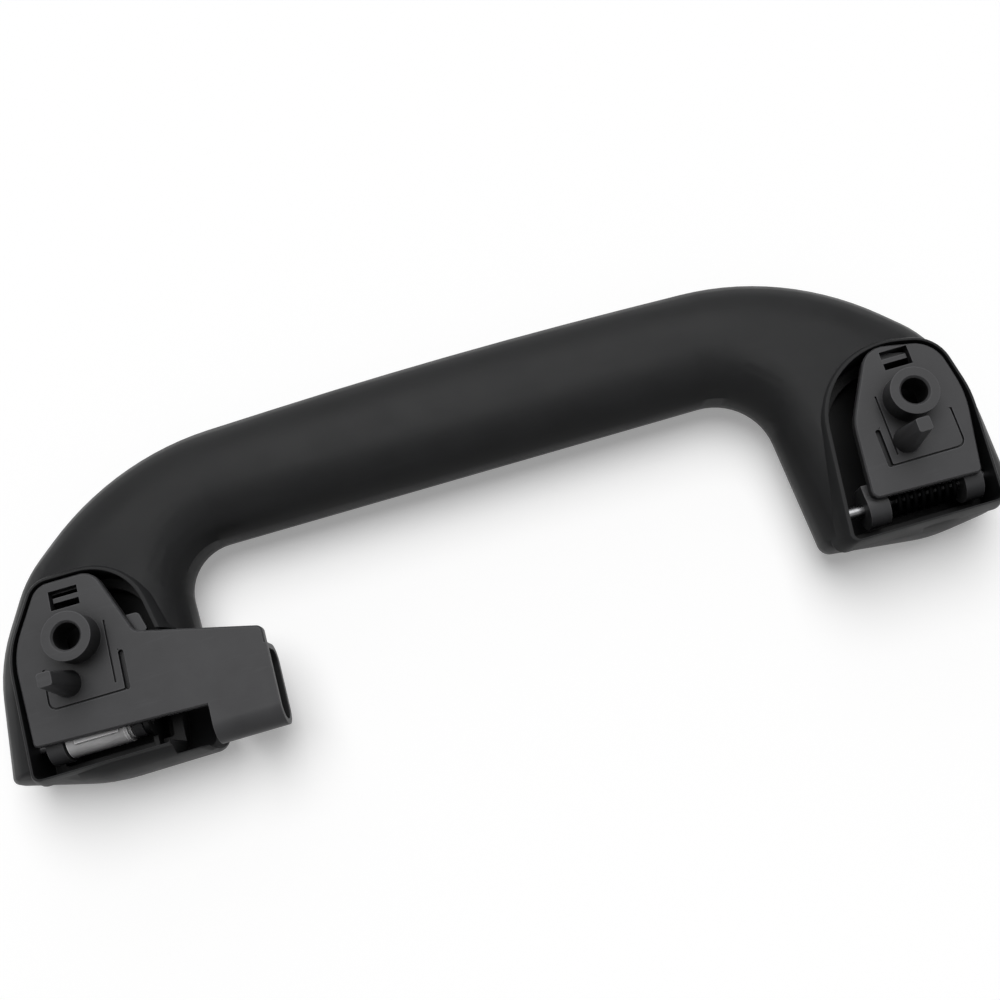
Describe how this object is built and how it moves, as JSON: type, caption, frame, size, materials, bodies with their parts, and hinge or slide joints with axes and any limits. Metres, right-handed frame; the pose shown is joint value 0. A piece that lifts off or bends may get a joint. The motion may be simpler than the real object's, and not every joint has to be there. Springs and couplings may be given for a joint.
{
  "type": "vehicle roof grab handle",
  "caption": "Curved roof grab handle that folds on hinged screw brackets, with a damper, a return spring and a coat hook stub.",
  "frame": {"origin": "midway between the two screw bosses, on the plane of their top faces", "axes": "+X along the hinge line from the damper end to the spring end, +Y from the hinge line to the grip, +Z out of the mounting face towards the roof"},
  "size_m": [0.2487, 0.0799, 0.0337],
  "materials": {
    "grip_plastic": "fine grained dark grey moulding",
    "bracket_plastic": "satin dark grey glass-filled moulding",
    "cover_plastic": "satin dark grey moulding",
    "pin_steel": "bright drawn steel wire",
    "damper_plastic": "smooth light grey moulding",
    "rotor_plastic": "natural white moulding",
    "spring_steel": "blackened spring steel wire"
  },
  "bodies": {
    "handle": {"handle_body": "grip_plastic", "left_hinge_pin": "pin_steel", "right_hinge_pin": "pin_steel", "damper_rotor": "rotor_plastic", "return_spring": "spring_steel"},
    "left_mount": {"left_bracket": "bracket_plastic", "left_screw_cover": "cover_plastic", "damper_barrel": "damper_plastic", "damper_cap": "damper_plastic"},
    "right_mount": {"right_bracket": "bracket_plastic", "right_screw_cover": "cover_plastic"}
  },
  "joints": [
    {"name": "left_hinge", "type": "hinge", "parent": "handle", "child": "left_mount", "pos_m": [-0.103, -0.022, -0.013], "axis": [1, 0, 0], "range_deg": [0, 90]},
    {"name": "right_hinge", "type": "hinge", "parent": "handle", "child": "right_mount", "pos_m": [0.103, -0.022, -0.013], "axis": [1, 0, 0], "range_deg": [0, 90], "stiffness_Nm_per_rad": 0.05, "springref_deg": -17.19, "deforming": ["return_spring"]}
  ],
  "couplings": [
    {"joint": "right_hinge", "follows": "left_hinge", "ratio": 1}
  ]
}
